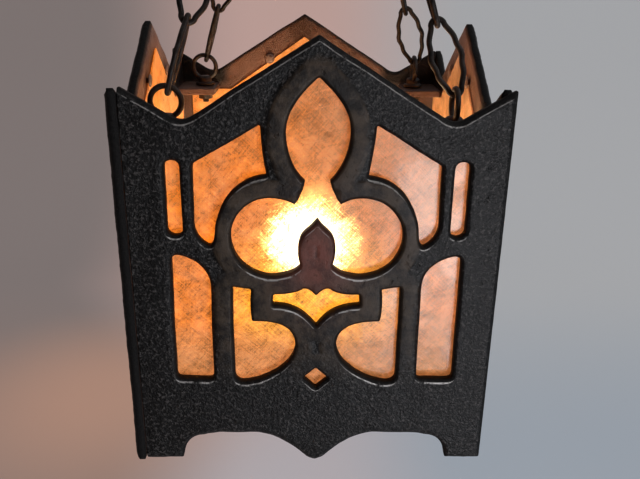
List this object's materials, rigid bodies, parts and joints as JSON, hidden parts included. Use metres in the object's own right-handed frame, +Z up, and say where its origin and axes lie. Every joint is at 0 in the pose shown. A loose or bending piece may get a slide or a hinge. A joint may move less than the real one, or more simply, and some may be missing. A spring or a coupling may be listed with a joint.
{
  "type": "pendant lantern",
  "caption": "Square Gothic lantern of gabled cast-iron tracery panels with mica behind, hung by corner chains from a ring on a swivelling ceiling hook, with a screw-in bulb inside.",
  "frame": {"origin": "centre of the ceiling plate's flat top face, where it lies against the ceiling", "axes": "+Z up, +X to the right as seen from the front, +Y away from the viewer; the front panel faces -Y"},
  "size_m": [0.254, 0.254, 0.6779],
  "materials": {
    "cast_iron": "rough sand-cast, blackened",
    "forged_iron": "blackened steel with brown rust bloom",
    "chain_iron": "blackened steel wire, worn bright on its edges",
    "mica": "amber mica sheet, translucent, fine scratches",
    "brass": "dull brass",
    "aluminium": "plain rolled aluminium",
    "bulb_glass": "frosted glass, lit"
  },
  "bodies": {
    "ceiling": {"ceiling_plate": "cast_iron", "swivel_nut": "forged_iron"},
    "hook": {"ceiling_hook": "forged_iron"},
    "ring": {"master_ring": "forged_iron"},
    "lantern": {"frame_panel_front": "cast_iron", "frame_panel_right": "cast_iron", "frame_panel_back": "cast_iron", "frame_panel_left": "cast_iron", "mica_sheet_front": "mica", "mica_sheet_right": "mica", "mica_sheet_back": "mica", "mica_sheet_left": "mica", "corner_plate_front_left": "cast_iron", "corner_plate_front_right": "cast_iron", "corner_plate_back_left": "cast_iron", "corner_plate_back_right": "cast_iron", "eye_bolt_front_left": "forged_iron", "eye_bolt_front_right": "forged_iron", "eye_bolt_back_left": "forged_iron", "eye_bolt_back_right": "forged_iron", "hex_nut_front_left": "forged_iron", "hex_nut_front_right": "forged_iron", "hex_nut_back_left": "forged_iron", "hex_nut_back_right": "forged_iron", "chain_link_front_left_1": "chain_iron", "chain_link_front_left_2": "chain_iron", "chain_link_front_left_3": "chain_iron", "chain_link_front_left_4": "chain_iron", "chain_link_front_left_5": "chain_iron", "chain_link_front_left_6": "chain_iron", "chain_link_front_left_7": "chain_iron", "chain_link_front_right_1": "chain_iron", "chain_link_front_right_2": "chain_iron", "chain_link_front_right_3": "chain_iron", "chain_link_front_right_4": "chain_iron", "chain_link_front_right_5": "chain_iron", "chain_link_front_right_6": "chain_iron", "chain_link_front_right_7": "chain_iron", "chain_link_back_left_1": "chain_iron", "chain_link_back_left_2": "chain_iron", "chain_link_back_left_3": "chain_iron", "chain_link_back_left_4": "chain_iron", "chain_link_back_left_5": "chain_iron", "chain_link_back_left_6": "chain_iron", "chain_link_back_left_7": "chain_iron", "chain_link_back_right_1": "chain_iron", "chain_link_back_right_2": "chain_iron", "chain_link_back_right_3": "chain_iron", "chain_link_back_right_4": "chain_iron", "chain_link_back_right_5": "chain_iron", "chain_link_back_right_6": "chain_iron", "chain_link_back_right_7": "chain_iron", "socket_strap": "forged_iron", "socket_nipple": "brass", "nipple_locknut": "forged_iron", "socket_cap": "brass", "socket_shell": "brass"},
    "bulb_contact": {"bulb_contact": "brass"},
    "bulb": {"bulb_base": "aluminium", "bulb_glass": "bulb_glass"}
  },
  "joints": [
    {"name": "hook_turn", "type": "hinge", "parent": "ceiling", "child": "hook", "pos_m": [0, 0, -0.0117], "axis": [0, 0, 1], "continuous": true},
    {"name": "ring_swing", "type": "hinge", "parent": "hook", "child": "ring", "pos_m": [0, 0, -0.0603], "axis": [0.7071, -0.7071, 0], "range_deg": [-25, 25]},
    {"name": "lantern_swing", "type": "hinge", "parent": "ring", "child": "lantern", "pos_m": [0, 0, -0.11408], "axis": [0.7071, 0.7071, 0], "range_deg": [-20, 20]},
    {"name": "bulb_drop", "type": "slide", "parent": "lantern", "child": "bulb_contact", "axis": [0, 0, -1], "range_m": [0, 0.01455]},
    {"name": "bulb_turn", "type": "hinge", "parent": "bulb_contact", "child": "bulb", "pos_m": [0, 0, -0.48592], "axis": [0, 0, -1], "range_deg": [0, 1440]}
  ],
  "couplings": [
    {"joint": "bulb_drop", "follows": "bulb_turn", "m_per_rad": 0.00057757}
  ]
}
